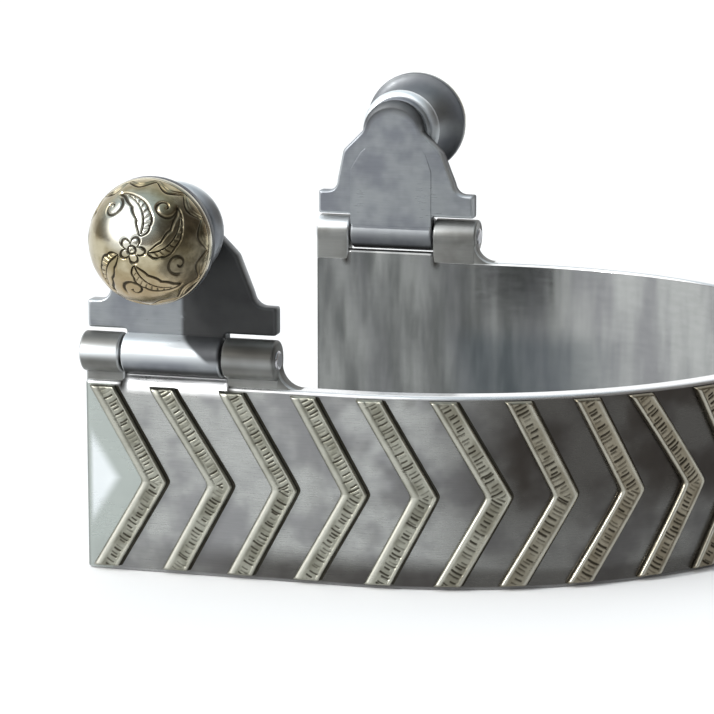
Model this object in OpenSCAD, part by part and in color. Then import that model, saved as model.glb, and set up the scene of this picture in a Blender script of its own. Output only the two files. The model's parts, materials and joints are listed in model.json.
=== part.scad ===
// Western spur with swinging strap buttons, in millimetres.
// The spur stands on the lower edge of its heel band: +X runs from the open end of the band to the rowel,
// +Z is up, and the wearer's left arm is at -Y.
// The origin is the centre of the heel's half circle, on the plane of the lower edge.

/* [Heel band] */
// Radius of the heel's half circle, to the middle of the band's thickness
heel_radius = 46; // [40:0.5:56]
// Length of each straight arm, from the half circle to its tip
arm_length = 31; // [29:0.5:45]
// Height of the band
band_height = 22.2; // [18:0.2:28]
// Thickness of the band
band_thickness = 2.5; // [2:0.1:3.2]
// Bevel along the four edges of the band
band_bevel = 0.4; // [0.2:0.05:0.6]

/* [Hinge] */
// Height of the hinge axis above the band's top edge
axis_rise = 3.3; // [3:0.1:4.5]
// Radius of the knuckles
knuckle_radius = 2.3; // [2:0.05:2.6]
// How far the knuckles stand proud of the band's inner face
knuckle_proud = 0.15; // [0.1:0.05:0.4]
// Length of the knuckle at the tip of the arm
tip_knuckle_length = 4.7; // [3.5:0.1:6]
// Length of the hanger's own barrel
barrel_length = 11.7; // [9:0.1:13]
// Length of the knuckle on the heel side
heel_knuckle_length = 6.1; // [4:0.1:7]
// Gap between neighbouring knuckles
knuckle_gap = 0.25; // [0.2:0.05:0.5]
// Gap between the barrel and the band's raised edge below it
seat_gap = 0.45; // [0.4:0.05:1]
// Radius of the concave foot of the heel-side knuckle
foot_radius = 2.6; // [1.5:0.1:3]
// Radius of the hinge pin
hinge_pin_radius = 1.1; // [0.9:0.05:1.3]
// How far the rounded ends of the hinge pin stand out of the knuckles
hinge_pin_end = 0.25; // [0.1:0.05:0.4]

/* [Button hanger] */
// Width of the plate at its base
plate_width = 22.4; // [20:0.2:26]
// Thickness of the plate
plate_thickness = 2.1; // [1.6:0.1:2.6]
// Gap between the plate's base and the knuckles below it
plate_gap = 0.4; // [0.35:0.05:0.8]
// Height of the plate's ledge above the hinge axis
ledge_height = 5.9; // [5:0.1:7]
// Radius of the hollow above the ledge
ledge_hollow = 1.5; // [0.8:0.1:2]
// Width of the waist just above the ledge
waist_width = 16.8; // [16:0.2:19]
// Width of the shoulder
shoulder_width = 14.2; // [13:0.2:15.8]
// Height of the shoulder above the hinge axis
shoulder_height = 11.7; // [10:0.1:12]
// Radius of the round end that carries the button
round_end_radius = 4.25; // [4:0.05:5]
// Height of the button's axis above the hinge axis
button_height = 14.5; // [14:0.1:17]

/* [Button] */
// Radius of the tenon that is peened into the plate
tenon_radius = 2; // [1.4:0.1:2.6]
// Length of the stud, from the plate to the rim of the cap
stud_length = 9.6; // [8:0.2:13]
// Radius of the rounded collar next to the plate
collar_radius = 5.5; // [4.6:0.1:6]
// Length of the collar
collar_length = 2; // [1:0.1:2]
// Radius of the stud's neck
neck_radius = 4; // [3.4:0.1:4.2]
// Distance from the plate to the start of the flare
neck_length = 3.2; // [2.4:0.1:5]
// Thickness of the flange that the flare ends in
flange_thickness = 1; // [0.6:0.1:1.6]
// Radius of the cap's rim
cap_radius = 7.1; // [6.4:0.1:8]
// Height of the cap's dome
cap_height = 6.4; // [4.5:0.1:7]
// Wall of the cap
cap_wall = 0.9; // [0.6:0.1:1.2]
// Height of the spigot that centres the cap
spigot_height = 1; // [0.6:0.1:1.6]
// Clearance around the spigot, for the solder
solder_clearance = 0.05; // [0.03:0.01:0.1]

/* [Chevrons] */
// Distance along the band from the tip to the first chevron's point
first_point = 10.5; // [9.8:0.1:12]
// Spacing of the points along the band
chevron_pitch = 7.8; // [7:0.05:7.9]
// How far each point runs ahead of its two ends
chevron_depth = 5.8; // [4:0.1:6.4]
// Height of the points above the lower edge
point_height = 10.8; // [9:0.1:11.5]
// Width of a strip along the band
strip_width = 3.05; // [2.4:0.05:3.4]
// Height of a strip above the band's face
strip_rise = 0.8; // [0.5:0.05:1]
// Margin between the strips' ends and the band's bevels
strip_margin = 0.1; // [0.05:0.05:0.5]
// Least distance along the band between the last point and the shank's root
last_margin = 1; // [0.5:0.5:4]

/* [Shank] */
// Length of the shank, from the band to the rowel's axis
shank_length = 52; // [42:1:70]
// Height of the rowel's axis above the lower edge
rowel_axis_height = 22; // [20:0.5:26]
// Height of the shank where it meets the band
shank_root_height = 16; // [12:0.5:18]
// Width of the shank where it meets the band
shank_root_width = 13; // [10.5:0.5:14]
// Radius of the hollow that narrows the shank behind its root
root_hollow = 14; // [10:1:18]
// Radius of the fork's round end
fork_radius = 4.8; // [4.2:0.1:6]
// How far the fork's round end stands proud of the bar
eye_step = 0.3; // [0.1:0.05:0.6]
// Thickness of each cheek of the fork
cheek_thickness = 2.8; // [2:0.1:4]

/* [Rowel] */
// Number of points on the rowel
rowel_points = 10; // [6:1:14]
// Radius to the blunt tips of the points
rowel_radius = 17; // [14:0.5:18.5]
// How much of each sharp point is ground off
point_cut = 1; // [0.5:0.1:2]
// Radius to the roots between the points
rowel_root_radius = 9; // [7:0.5:11]
// Thickness of the rowel at its hub
rowel_thickness = 2.8; // [2:0.1:3.6]
// Thickness of the points at their tips
tip_thickness = 1.2; // [0.8:0.1:1.8]
// Gap between the rowel's hub and each cheek
rowel_side_gap = 0.4; // [0.35:0.05:0.8]
// Gap between the rowel's points and the bottom of the fork
rowel_tip_gap = 1.5; // [1:0.1:3]
// Radius of the rowel pin
rowel_pin_radius = 2; // [1.5:0.1:2.4]
// Height of the rowel pin's riveted heads
rivet_height = 0.9; // [0.6:0.1:1.4]
// How much wider a riveted head is than the pin, on the radius
rivet_overhang = 1; // [0.6:0.1:1.4]

/* [Fits] */
// Radial clearance of the hanger's barrel on its pin
hinge_clearance = 0.05; // [0.03:0.01:0.1]
// Radial clearance of the rowel on its pin
rowel_clearance = 0.08; // [0.04:0.01:0.1]

/* [Hidden] */
$fn = 96;
// Overlap that keeps fused volumes from meeting in a bare edge
sink = 1;
steel = "Silver";
nickel = "DarkKhaki";

half_band = band_thickness / 2;
inner_face = heel_radius - half_band;
outer_face = heel_radius + half_band;

axis_y = inner_face - knuckle_proud + knuckle_radius;
axis_z = band_height + axis_rise;
barrel_start = tip_knuckle_length + knuckle_gap;
heel_knuckle_start = barrel_start + barrel_length + knuckle_gap;
seat_rise = max(0, axis_rise - knuckle_radius - seat_gap);
hinge_length = heel_knuckle_start + heel_knuckle_length;

plate_inner = inner_face;
plate_outer = plate_inner + plate_thickness;
plate_base = knuckle_radius + plate_gap;
plate_middle = hinge_length / 2;
// The shoulder slopes at 45 degrees into the tangent of the round end
shoulder_run = (shoulder_width / 2 - round_end_radius * cos(45));
slope_height = shoulder_height + shoulder_run;

cap_sphere = (cap_radius * cap_radius + cap_height * cap_height) / (2 * cap_height);
cap_centre = cap_height - cap_sphere;
cap_bore = sqrt(pow(cap_sphere - cap_wall, 2) - pow(max(0, spigot_height - cap_centre), 2));
spigot_radius = cap_bore - solder_clearance;

chevron_span = chevron_depth + strip_width;
// As many chevrons as fit between the tip of an arm and the shank's root
half_length = arm_length + outer_face * PI / 2;
chevron_room = half_length - shank_root_width / 2 - last_margin - first_point;
chevron_count = floor(chevron_room / chevron_pitch) + 1;
strip_bottom = band_bevel + strip_margin;
strip_top = band_height - band_bevel - strip_margin;

rowel_axis_x = outer_face + shank_length;
slot_width = rowel_thickness + 2 * rowel_side_gap;
fork_width = slot_width + 2 * cheek_thickness;
slot_start = rowel_axis_x - rowel_radius - rowel_tip_gap;
// The bar ends a little slimmer than the round end of the fork
bar_end = fork_radius - eye_step;

LEFT = -1;
RIGHT = 1;
function two_digits(n) = n < 10 ? str("0", n) : str(n);
chevrons_left = [for (k = [1 : chevron_count]) str("chevron_left_", two_digits(k))];
chevrons_right = [for (k = [1 : chevron_count]) str("chevron_right_", two_digits(k))];

// Points of an arc, from angle a0 to angle a1
function arc(centre, radius, a0, a1, steps) = [
    for (i = [0 : steps])
        let (a = a0 + (a1 - a0) * i / steps)
        [centre[0] + radius * cos(a), centre[1] + radius * sin(a)]
];

// Draws its children on the wearer's left as they are written, and on the right as their mirror image
module on_side(side) {
    mirror([0, side == RIGHT ? 1 : 0, 0]) children();
}

// Stands a profile up: its x becomes Y, its y becomes Z, and it runs along +X
module along_arm(length) {
    rotate([90, 0, 90]) linear_extrude(length) children();
}

// Section of the band, centred on its thickness, with bevelled edges
module band_section() {
    b = band_bevel;
    polygon([
        [-half_band + b, 0], [half_band - b, 0],
        [half_band, b], [half_band, band_height - b],
        [half_band - b, band_height], [-half_band + b, band_height],
        [-half_band, band_height - b], [-half_band, b]
    ]);
}

// A fixed knuckle of the left arm, on a web set back by the band's bevel; start is the distance from the tip
module knuckle(start, length) {
    translate([start - arm_length, 0, 0]) along_arm(length) {
        translate([-axis_y, axis_z]) circle(knuckle_radius);
        translate([band_bevel - outer_face, band_height - sink])
            square([band_thickness - band_bevel, axis_rise + sink]);
    }
}

// Raised edge of the band between the fixed knuckles, with bevels like the band's own
module hinge_seat() {
    b = band_bevel;
    translate([tip_knuckle_length - sink - arm_length, -heel_radius, band_height])
        along_arm(heel_knuckle_start - tip_knuckle_length + 2 * sink)
            polygon([
                [-half_band, -sink], [half_band, -sink],
                [half_band, seat_rise - b], [half_band - b, seat_rise],
                [b - half_band, seat_rise], [-half_band, seat_rise - b]
            ]);
}

// Concave foot that runs from the heel-side knuckle down to the band's top edge
module knuckle_foot() {
    centre = [foot_radius, foot_radius];
    translate([hinge_length - arm_length, -inner_face, band_height])
        rotate([90, 0, 0]) linear_extrude(band_thickness - band_bevel)
            polygon(concat([[-sink, -sink], [foot_radius, -sink]], arc(centre, foot_radius, 270, 180, 12),
                [[-sink, foot_radius]]));
}

module hinge_pin_bore(radius) {
    translate([-arm_length - sink, -axis_y, axis_z]) rotate([0, 90, 0])
        cylinder(r = radius, h = hinge_length + 2 * sink);
}

module left_hinge_knuckles() {
    difference() {
        union() {
            knuckle(0, tip_knuckle_length);
            knuckle(heel_knuckle_start, heel_knuckle_length);
            knuckle_foot();
            hinge_seat();
        }
        hinge_pin_bore(hinge_pin_radius);
    }
}

// The U-shaped band with the fixed knuckles of both hinges
module heel_band() {
    color(steel) {
        rotate_extrude(angle = 180, start = -90) translate([heel_radius, 0]) band_section();
        for (side = [LEFT, RIGHT]) on_side(side) {
            translate([-arm_length, -heel_radius, 0]) along_arm(arm_length) band_section();
            left_hinge_knuckles();
        }
    }
}

// Pin of one hinge, held by the fixed knuckles, with slightly rounded ends
module hinge_pin(side) {
    r = hinge_pin_radius;
    e = hinge_pin_end;
    color(steel) on_side(side)
        translate([-arm_length, -axis_y, axis_z]) rotate([0, 90, 0]) rotate_extrude()
            polygon([
                [0, -e], [r - e, -e], [r, 0],
                [r, hinge_length], [r - e, hinge_length + e], [0, hinge_length + e]
            ]);
}

// Half of the plate's outline, from its base to the slope under the round end
function plate_half() = concat(
    [[plate_width / 2, plate_base], [plate_width / 2, ledge_height]],
    arc([waist_width / 2 + ledge_hollow, ledge_height + ledge_hollow], ledge_hollow, 270, 180, 8),
    [[shoulder_width / 2, shoulder_height], [round_end_radius * cos(45), slope_height]]
);

// Outline of the plate: x along the hinge from the plate's middle, y up from the hinge axis
module plate_outline() {
    half = plate_half();
    count = len(half);
    polygon(concat(half, [for (i = [1 : count]) [-half[count - i][0], half[count - i][1]]]));
    translate([0, button_height]) circle(round_end_radius);
}

// Hinged plate: the barrel on its pin, the tongue between the knuckles and the shaped plate
module button_hanger(side) {
    barrel_x = barrel_start - arm_length;
    color(steel) on_side(side) difference() {
        union() {
            translate([barrel_x, -axis_y, axis_z]) rotate([0, 90, 0])
                cylinder(r = knuckle_radius, h = barrel_length);
            translate([barrel_x, -plate_outer, axis_z])
                cube([barrel_length, plate_thickness, plate_base + sink]);
            translate([plate_middle - arm_length, -plate_inner, axis_z])
                rotate([90, 0, 0]) linear_extrude(plate_thickness) plate_outline();
        }
        hinge_pin_bore(hinge_pin_radius + hinge_clearance);
        button_axis() cylinder(r = tenon_radius, h = plate_thickness + 2 * sink, center = true);
    }
}

// Puts its children on the left button's axis, with +Z outwards and zero at the plate's middle
module button_axis() {
    translate([plate_middle - arm_length, -(plate_inner + plate_thickness / 2), axis_z + button_height])
        rotate([90, 0, 0]) children();
}

// Turned stud: tenon, rounded collar, straight neck, trumpet-shaped flare, flange and the cap's spigot
module button_stud(side) {
    bead = collar_length / 2;
    flange_start = stud_length - flange_thickness;
    flare = [flange_start - neck_length, cap_radius - neck_radius];
    flare_points = [
        for (a = [0 : 10 : 90])
            [neck_radius + flare[1] * (1 - cos(a)), neck_length + flare[0] * sin(a)]
    ];
    color(steel) on_side(side) button_axis() translate([0, 0, plate_thickness / 2]) rotate_extrude()
        polygon(concat(
            [[0, -plate_thickness], [tenon_radius, -plate_thickness], [tenon_radius, 0]],
            arc([collar_radius - bead, bead], bead, -90, 90, 12),
            [[neck_radius, collar_length]],
            flare_points,
            [[cap_radius, stud_length], [spigot_radius, stud_length]],
            [[spigot_radius, stud_length + spigot_height], [0, stud_length + spigot_height]]
        ));
}

// Domed cap: a spherical shell whose rim sits on the stud's flange
module button_cap(side) {
    color(nickel) on_side(side) button_axis() translate([0, 0, plate_thickness / 2 + stud_length])
        rotate_extrude() difference() {
            intersection() {
                translate([0, cap_centre]) circle(cap_sphere);
                square([cap_radius + sink, cap_height + sink]);
            }
            intersection() {
                translate([0, cap_centre]) circle(cap_sphere - cap_wall);
                translate([-sink, spigot_height]) square([cap_radius, cap_height]);
            }
            translate([-sink, -sink]) square([cap_bore + sink, spigot_height + sink]);
        }
}

// Space just outside the left half of the band, as deep as the strips are high
module strip_layer() {
    linear_extrude(band_height) {
        translate([-arm_length, -outer_face - strip_rise]) square([arm_length, strip_rise]);
        intersection() {
            difference() {
                circle(outer_face + strip_rise);
                circle(outer_face);
            }
            translate([0, -2 * heel_radius]) square(2 * heel_radius);
        }
    }
}

// A strip bent to a V on its side, its point towards the heel, wrapped on the band's outer face
module chevron(side, k) {
    middle = first_point + chevron_pitch * (k - 1) - chevron_span / 2;
    turn = max(0, middle - arm_length) / outer_face * 180 / PI;
    point = chevron_span / 2;
    color(nickel) on_side(side) intersection() {
        strip_layer();
        rotate([0, 0, turn]) translate([min(0, middle - arm_length), -heel_radius, 0])
            rotate([90, 0, 0]) linear_extrude(band_thickness + strip_rise)
                polygon([
                    [point, point_height],
                    [point - chevron_depth, strip_top],
                    [point - chevron_span, strip_top],
                    [point - strip_width, point_height],
                    [point - chevron_span, strip_bottom],
                    [point - chevron_depth, strip_bottom]
                ]);
    }
}

// Middle line of the shank and half its height, at a share t of the way to the rowel's axis
function shank_middle(t) = band_height / 2 + (rowel_axis_height - band_height / 2) * t * t;
function shank_half(t) = bar_end + (shank_root_height / 2 - bar_end) * pow(1 - t, 1.5);

// Side view of the shank's bar, which tapers and sweeps up to the rowel's axis
module shank_side() {
    shares = [for (i = [0 : 16]) i / 16];
    upper = [for (t = shares) [outer_face + shank_length * t, shank_middle(t) + shank_half(t)]];
    lower = [for (t = shares) [outer_face + shank_length * t, shank_middle(t) - shank_half(t)]];
    polygon(concat(
        [[inner_face, lower[0][1]], [inner_face, upper[0][1]]],
        upper,
        [for (i = [1 : len(lower)]) lower[len(lower) - i]]
    ));
}

// Top view of the shank: a flared root, hollowed on both sides down to the fork's width
module shank_top() {
    root_half = shank_root_width / 2;
    fork_half = fork_width / 2;
    step = root_half - fork_half;
    reach = acos(1 - step / root_hollow);
    centre = [outer_face + sink + root_hollow * sin(reach), fork_half + root_hollow];
    upper = concat(
        [[inner_face, root_half], [outer_face + sink, root_half]],
        arc(centre, root_hollow, 270 - reach, 270, 8),
        [[rowel_axis_x, fork_half]]
    );
    count = len(upper);
    polygon(concat(upper, [for (i = [1 : count]) [upper[count - i][0], -upper[count - i][1]]]));
}

module rowel_axis() {
    translate([rowel_axis_x, 0, rowel_axis_height]) rotate([90, 0, 0]) children();
}

// Shank with its root fitted to the band's outer face, its forked end and the pin's bore
module shank() {
    color(steel) difference() {
        union() {
            intersection() {
                rotate([90, 0, 0]) linear_extrude(2 * shank_root_width, center = true) shank_side();
                linear_extrude(2 * rowel_axis_height) shank_top();
            }
            rowel_axis() cylinder(r = fork_radius, h = fork_width, center = true);
        }
        translate([0, 0, -sink]) cylinder(r = outer_face, h = band_height + 2 * sink);
        translate([slot_start, -slot_width / 2, 0])
            cube([shank_length, slot_width, 2 * rowel_axis_height]);
        rowel_axis() cylinder(r = rowel_pin_radius, h = fork_width + 2 * sink, center = true);
    }
}

// Star wheel, thinner towards its points
module rowel() {
    star = [
        for (i = [0 : 2 * rowel_points - 1])
            let (a = i * 180 / rowel_points)
            let (r = i % 2 == 0 ? rowel_radius + point_cut : rowel_root_radius)
            [r * cos(a), r * sin(a)]
    ];
    hub = fork_radius;
    half_hub = rowel_thickness / 2;
    half_tip = tip_thickness / 2;
    color(steel) rowel_axis() difference() {
        intersection() {
            linear_extrude(2 * rowel_thickness, center = true) polygon(star);
            rotate_extrude() polygon([
                [0, -half_hub], [hub, -half_hub], [rowel_radius, -half_tip],
                [rowel_radius, half_tip], [hub, half_hub], [0, half_hub]
            ]);
        }
        cylinder(r = rowel_pin_radius + rowel_clearance, h = 2 * rowel_thickness, center = true);
    }
}

// Pin through the fork, riveted over both cheeks
module rowel_pin() {
    half = fork_width / 2;
    r = rowel_pin_radius;
    head = r + rivet_overhang;
    head_points = [for (a = [0 : 15 : 90]) [head * cos(a), half + rivet_height * sin(a)]];
    upper = concat([[r, 0], [r, half]], head_points);
    count = len(upper);
    color(steel) rowel_axis() rotate_extrude()
        polygon(concat([for (i = [1 : count]) [upper[count - i][0], -upper[count - i][1]]], upper));
}

heel_band();
shank();
rowel();
rowel_pin();
hinge_pin(LEFT);  // hinge_pin_left
hinge_pin(RIGHT);  // hinge_pin_right
button_hanger(LEFT);  // button_hanger_left
button_hanger(RIGHT);  // button_hanger_right
button_stud(LEFT);  // button_stud_left
button_stud(RIGHT);  // button_stud_right
button_cap(LEFT);  // button_cap_left
button_cap(RIGHT);  // button_cap_right
for (k = [1 : chevron_count]) {
    chevron(LEFT, k);
    chevron(RIGHT, k);
}
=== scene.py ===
import json
import math
import bpy
import numpy as np
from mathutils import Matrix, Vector


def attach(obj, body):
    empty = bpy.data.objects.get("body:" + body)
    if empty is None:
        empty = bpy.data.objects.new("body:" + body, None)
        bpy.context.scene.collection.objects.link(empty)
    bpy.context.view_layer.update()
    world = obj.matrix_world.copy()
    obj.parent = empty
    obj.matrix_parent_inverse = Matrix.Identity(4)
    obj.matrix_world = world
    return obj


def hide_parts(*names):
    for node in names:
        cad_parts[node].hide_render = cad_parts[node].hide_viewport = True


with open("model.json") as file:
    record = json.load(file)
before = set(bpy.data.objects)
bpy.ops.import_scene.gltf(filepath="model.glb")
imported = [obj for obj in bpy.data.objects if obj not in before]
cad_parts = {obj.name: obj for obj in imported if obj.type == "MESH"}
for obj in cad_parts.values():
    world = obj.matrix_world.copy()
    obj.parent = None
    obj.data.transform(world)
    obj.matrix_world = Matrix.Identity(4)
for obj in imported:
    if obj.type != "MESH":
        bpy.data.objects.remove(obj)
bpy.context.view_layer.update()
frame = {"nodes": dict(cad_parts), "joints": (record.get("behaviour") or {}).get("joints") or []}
scene = bpy.context.scene
mm = 0.001  # the surfaces below are worked out in millimetres
sides = {"left": -1, "right": 1}
hingePlace = {joint["name"]: joint["pos_m"] for joint in frame["joints"]}["hanger_left_swing"]
plateMiddle = hingePlace[0] / mm
axisY = abs(hingePlace[1]) / mm
axisZ = hingePlace[2] / mm
print("frame loaded,", len(frame["nodes"]), "nodes")

# Camera at the photograph's viewing angle, aimed just inside the open end
viewSet = {"azimuth": 15.99, "elevation": 11.02, "distance": 411.8, "lens": 163.93,
           "target": (-12.23, 0, 16.9)}


def setCamera(v):
    a = math.radians(v["azimuth"])
    e = math.radians(v["elevation"])
    back = Vector((math.sin(a) * math.cos(e), -math.cos(a) * math.cos(e), math.sin(e)))
    data = bpy.data.cameras.new("spurCamera")
    data.sensor_width = 36
    data.lens = v["lens"]
    data.clip_start = 0.01
    camera = bpy.data.objects.new("spurCamera", data)
    camera.location = (Vector(v["target"]) + back * v["distance"]) * mm
    camera.rotation_euler = (-back).to_track_quat("-Z", "Y").to_euler()
    scene.collection.objects.link(camera)
    scene.camera = camera


setCamera(viewSet)
print("camera set")


# Meshes from arrays of points
def gridFaces(rows, cols, wrapped=False):
    # Quads between neighbouring rows, each closed round on itself; wrapped joins the last row to the first
    row = np.arange(rows if wrapped else rows - 1)[:, None] * cols
    beyond = (row + cols) % (rows * cols)
    col = np.arange(cols)[None, :]
    after = (col + 1) % cols
    return np.stack([row + col, row + after, beyond + after, beyond + col], -1).reshape(-1, 4)


def closedTube(points, firstCentre=None, lastCentre=None):
    # Rows of closed rings, with a fan of triangles to a middle point over the first and the last ring
    rows, cols = points.shape[:2]
    middle = [points[0].mean(0) if firstCentre is None else firstCentre,
              points[-1].mean(0) if lastCentre is None else lastCentre]
    first = np.arange(cols)
    last = first + (rows - 1) * cols
    fans = np.vstack([np.stack([np.roll(first, -1), first, np.full(cols, rows * cols)], -1),
                      np.stack([last, np.roll(last, -1), np.full(cols, rows * cols + 1)], -1)])
    return np.vstack([points.reshape(-1, 3), np.array(middle)]), gridFaces(rows, cols), fans


def addPiece(name, shape, body, material, node=None, fields=None):
    verts, quads, tris = shape
    corners = np.vstack([quads[:, [0, 1, 2]], quads[:, [0, 2, 3]], tris])
    volume = (verts[corners[:, 0]] * np.cross(verts[corners[:, 1]], verts[corners[:, 2]])).sum()
    if volume < 0:  # a mirrored piece comes out inside out
        quads = quads[:, ::-1]
        tris = tris[:, ::-1]
    sizes = np.r_[np.full(len(quads), 4), np.full(len(tris), 3)]
    mesh = bpy.data.meshes.new(name)
    mesh.vertices.add(len(verts))
    mesh.vertices.foreach_set("co", (verts * mm).astype(np.float32).ravel())
    mesh.loops.add(int(sizes.sum()))
    mesh.loops.foreach_set("vertex_index", np.r_[quads.ravel(), tris.ravel()].astype(np.int32))
    mesh.polygons.add(len(sizes))
    mesh.polygons.foreach_set("loop_start", np.r_[0, np.cumsum(sizes)[:-1]].astype(np.int32))
    mesh.polygons.foreach_set("use_smooth", np.ones(len(sizes), bool))
    mesh.update(calc_edges=True)
    for key, values in (fields or {}).items():
        spare = np.zeros(len(verts) - values.size)
        layer = mesh.attributes.new(key, "FLOAT", "POINT")
        layer.data.foreach_set("value", np.r_[values.ravel(), spare].astype(np.float32))
    piece = bpy.data.objects.new(name, mesh)
    scene.collection.objects.link(piece)
    mesh.materials.append(material)
    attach(piece, body)
    if node:
        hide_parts(node)


def onSide(points, side):
    # The wearer's left is as worked out, the right is its mirror image
    return points * np.array([1, -sides[side], 1])


def smoothLoop(points, count, softness):
    # A closed outline taken at even steps, with its corners rounded by a Gaussian of that width
    p = np.vstack([points, points[:1]])
    length = np.r_[0, np.cumsum(np.linalg.norm(np.diff(p, axis=0), axis=1))]
    finer = 8
    fine = count * finer
    t = np.arange(fine) / fine * length[-1]
    q = np.stack([np.interp(t, length, p[:, k]) for k in (0, 1)], -1)
    low = np.exp(-2 * (math.pi * softness * np.fft.fftfreq(fine, length[-1] / fine)) ** 2)
    return np.fft.ifft(np.fft.fft(q, axis=0) * low[:, None], axis=0).real[::finer]


def inwards(loop):
    # Unit normals of a closed outline, towards its inside
    d = np.roll(loop, -1, 0) - np.roll(loop, 1, 0)
    n = np.stack([-d[:, 1], d[:, 0]], -1) / np.linalg.norm(d, axis=1)[:, None]
    area = (loop[:, 0] * np.roll(loop[:, 1], -1) - np.roll(loop[:, 0], -1) * loop[:, 1]).sum()
    return n * np.sign(area)


def roundedPrism(points, count, softness, ends, edges, steps=7, support=0.06):
    # An outline carried straight between two levels. At each end the wall turns into the face,
    # inset e(1 - sin(a)^k) and depth d(1 - cos(a)^k), a quarter of an ellipse with k = 1.
    # e and d may change along the outline. Deeper rows start from a softer outline, so that corners
    # don't fold. A row just inside the turn keeps the face flat. The second result is 1 where an edge
    # wears bright.
    a = np.linspace(0, math.pi / 2, steps + 1)
    one = np.ones(count)
    rows = []
    wear = []
    for level, (inset, depth, k), way in ((ends[0], edges[0], 1), (ends[1], edges[1], -1)):
        ring = []
        for share, down in [(-1, 0)] + list(zip(1 - np.sin(a) ** k, 1 - np.cos(a) ** k)):
            into = (inset + support if share < 0 else inset * share) * one
            loop = smoothLoop(points, count, softness + 0.7 * into.min())
            flat = loop + inwards(loop) * into[:, None]
            ring.append(np.concatenate([flat, (level + way * down * depth * one)[:, None]], -1))
        rows.append(np.stack(ring)[::way])
        wear.append(np.r_[0, np.sin(2 * a)][::way])
    rows = np.concatenate(rows)
    return rows, np.repeat(np.concatenate(wear)[:, None], count, 1)


def blend(value, low, high):
    # 0 at low, 1 at high, smooth in between
    t = np.clip((value - low) / (high - low), 0, 1)
    return t * t * (3 - 2 * t)


def lineCut(distance, width):
    return np.exp(-(distance / width) ** 2)


def moreRows(rows, wear, count):
    # Rows added between the two ends of a prism
    half = len(rows) // 2
    t = np.linspace(0, 1, count + 2)[1:-1, None, None]
    rows = np.concatenate([rows[:half], rows[half - 1] + t * (rows[half] - rows[half - 1]), rows[half:]])
    return rows, np.concatenate([wear[:half], np.zeros((count, wear.shape[1])), wear[half:]])


def filledEnds(rows, centres, shares):
    # More rings on the flat ends of a prism, drawn in towards a point that sees the whole outline
    first = [centres[0] + f * (rows[0] - centres[0]) for f in shares]
    last = [centres[1] + f * (rows[-1] - centres[1]) for f in shares[::-1]]
    return np.concatenate([first, rows, last])


def fullTurn(count):
    return np.linspace(0, 2 * math.pi, count, endpoint=False)


def circleLoop(centre, radius, count):
    t = fullTurn(count)
    return np.stack([centre[0] + radius * np.cos(t), centre[1] + radius * np.sin(t)], -1)


def arcPoints(centre, radius, start, end, count):
    t = np.radians(np.linspace(start, end, count))
    return np.stack([centre[0] + radius * np.cos(t), centre[1] + radius * np.sin(t)], -1)


# Shader nodes
def feed(tree, node, inputs):
    # Each input gets a link or a value
    for socket, source in inputs.items():
        source = getattr(source, "socket", source)
        if isinstance(source, bpy.types.NodeSocket):
            tree.links.new(source, node.inputs[socket])
        else:
            node.inputs[socket].default_value = source


def addNode(tree, kind, inputs=None, **settings):
    node = tree.nodes.new(kind)
    for key, value in settings.items():
        setattr(node, key, value)
    feed(tree, node, inputs or {})
    return node


def maths(tree, operation, *inputs):
    node = addNode(tree, "ShaderNodeMath", dict(enumerate(inputs)), operation=operation)
    return Value(tree, node.outputs[0])


class Value:
    # A number that shader nodes work out, so that the finishes can be written as formulas
    def __init__(self, tree, socket):
        self.tree = tree
        self.socket = socket

    def __add__(self, other):
        return maths(self.tree, "ADD", self, other)

    def __sub__(self, other):
        return maths(self.tree, "SUBTRACT", self, other)

    def __rsub__(self, other):
        return maths(self.tree, "SUBTRACT", other, self)

    def __mul__(self, other):
        return maths(self.tree, "MULTIPLY", self, other)

    def __truediv__(self, other):
        return maths(self.tree, "DIVIDE", self, other)

    def __rtruediv__(self, other):
        return maths(self.tree, "DIVIDE", other, self)

    def __abs__(self):
        return maths(self.tree, "ABSOLUTE", self)

    def most(self, other):
        return maths(self.tree, "MAXIMUM", self, other)

    def under(self, limit):
        return maths(self.tree, "LESS_THAN", self, limit)

    def scaled(self, by, start):
        # start + by * value
        return maths(self.tree, "MULTIPLY_ADD", self, by, start)

    def ramp(self, low, high):
        # 0 at low, 1 at high, smooth in between
        inputs = {0: self, 1: low, 2: high}
        node = addNode(self.tree, "ShaderNodeMapRange", inputs, interpolation_type="SMOOTHSTEP")
        return Value(self.tree, node.outputs[0])


def mixColours(tree, share, a, b):
    return addNode(tree, "ShaderNodeMix", {0: share, 6: a, 7: b}, data_type="RGBA").outputs[2]


def noise(tree, vector, scale, detail=2.0, rough=0.5, stretch=(1, 1, 1)):
    moved = addNode(tree, "ShaderNodeMapping", {"Vector": vector, "Scale": stretch}).outputs[0]
    inputs = {"Vector": moved, "Scale": scale, "Detail": detail, "Roughness": rough}
    return Value(tree, addNode(tree, "ShaderNodeTexNoise", inputs).outputs[0])


def attribute(tree, name):
    return Value(tree, addNode(tree, "ShaderNodeAttribute", attribute_name=name).outputs["Fac"])


def newGroup(name, inputs, outputs):
    group = bpy.data.node_groups.new(name, "ShaderNodeTree")
    for way, sockets in (("INPUT", inputs), ("OUTPUT", outputs)):
        for label, kind in sockets.items():
            group.interface.new_socket(label, in_out=way, socket_type="NodeSocket" + kind)
    return group, group.nodes.new("NodeGroupInput").outputs, group.nodes.new("NodeGroupOutput")


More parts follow.
